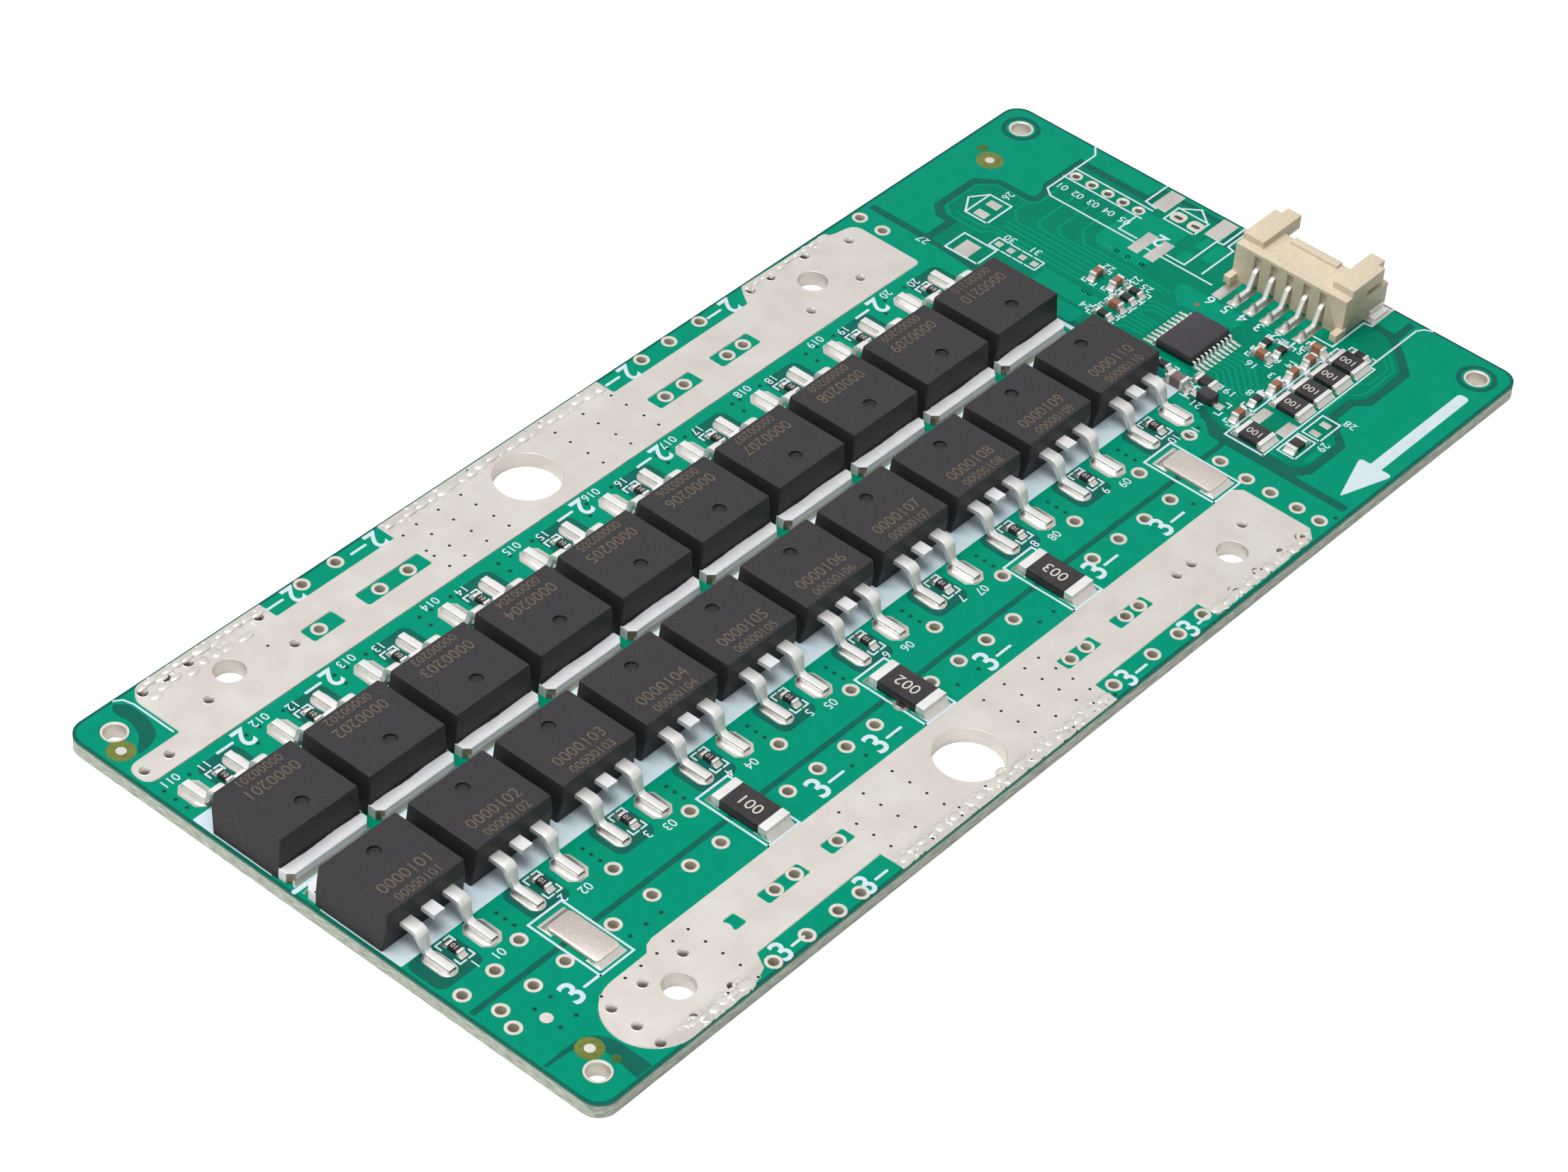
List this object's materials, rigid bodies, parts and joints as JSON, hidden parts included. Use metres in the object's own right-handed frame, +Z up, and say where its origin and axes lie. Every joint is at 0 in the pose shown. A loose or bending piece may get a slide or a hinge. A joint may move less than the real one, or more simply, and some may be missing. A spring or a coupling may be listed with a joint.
{
  "type": "battery management board",
  "caption": "Long green circuit board with facing rows of tab-mounted power transistors, two tinned terminal strips and a control corner with a side-entry connector.",
  "frame": {"origin": "centre of the board's underside", "axes": "+X along the board towards the connector end, +Y from the battery strip to the pack strip, +Z up out of the component side"},
  "size_m": [0.1334, 0.0636, 0.0068],
  "materials": {
    "solder_mask": "satin",
    "tinned_strip": "satin",
    "tinned_tab": "satin",
    "tinned_lead": "satin",
    "moulded_epoxy": "matte",
    "sense_alloy": "satin",
    "resistor_coating": "satin",
    "chip_terminal": "satin",
    "capacitor_ceramic": "satin",
    "connector_plastic": "satin"
  },
  "bodies": {
    "root": {"capacitor_bodies": "capacitor_ceramic", "capacitor_ends": "chip_terminal", "charge_leads": "tinned_lead", "charge_mosfet_01_case": "moulded_epoxy", "charge_mosfet_01_tab": "tinned_tab", "charge_mosfet_02_case": "moulded_epoxy", "charge_mosfet_02_tab": "tinned_tab", "charge_mosfet_03_case": "moulded_epoxy", "charge_mosfet_03_tab": "tinned_tab", "charge_mosfet_04_case": "moulded_epoxy", "charge_mosfet_04_tab": "tinned_tab", "charge_mosfet_05_case": "moulded_epoxy", "charge_mosfet_05_tab": "tinned_tab", "charge_mosfet_06_case": "moulded_epoxy", "charge_mosfet_06_tab": "tinned_tab", "charge_mosfet_07_case": "moulded_epoxy", "charge_mosfet_07_tab": "tinned_tab", "charge_mosfet_08_case": "moulded_epoxy", "charge_mosfet_08_tab": "tinned_tab", "charge_mosfet_09_case": "moulded_epoxy", "charge_mosfet_09_tab": "tinned_tab", "charge_mosfet_10_case": "moulded_epoxy", "charge_mosfet_10_tab": "tinned_tab", "chip_resistor_bodies": "resistor_coating", "chip_resistor_ends": "chip_terminal", "circuit_board": "solder_mask", "connector_anchors": "tinned_lead", "connector_contacts": "tinned_lead", "connector_housing": "connector_plastic", "controller_case": "moulded_epoxy", "controller_leads": "tinned_lead", "diode_case": "moulded_epoxy", "diode_leads": "tinned_lead", "discharge_leads": "tinned_lead", "discharge_mosfet_01_case": "moulded_epoxy", "discharge_mosfet_01_tab": "tinned_tab", "discharge_mosfet_02_case": "moulded_epoxy", "discharge_mosfet_02_tab": "tinned_tab", "discharge_mosfet_03_case": "moulded_epoxy", "discharge_mosfet_03_tab": "tinned_tab", "discharge_mosfet_04_case": "moulded_epoxy", "discharge_mosfet_04_tab": "tinned_tab", "discharge_mosfet_05_case": "moulded_epoxy", "discharge_mosfet_05_tab": "tinned_tab", "discharge_mosfet_06_case": "moulded_epoxy", "discharge_mosfet_06_tab": "tinned_tab", "discharge_mosfet_07_case": "moulded_epoxy", "discharge_mosfet_07_tab": "tinned_tab", "discharge_mosfet_08_case": "moulded_epoxy", "discharge_mosfet_08_tab": "tinned_tab", "discharge_mosfet_09_case": "moulded_epoxy", "discharge_mosfet_09_tab": "tinned_tab", "discharge_mosfet_10_case": "moulded_epoxy", "discharge_mosfet_10_tab": "tinned_tab", "sense_resistor_bodies": "resistor_coating", "sense_resistor_ends": "chip_terminal", "sense_strips": "sense_alloy", "terminal_strip_battery": "tinned_strip", "terminal_strip_pack": "tinned_strip"}
  },
  "joints": []
}
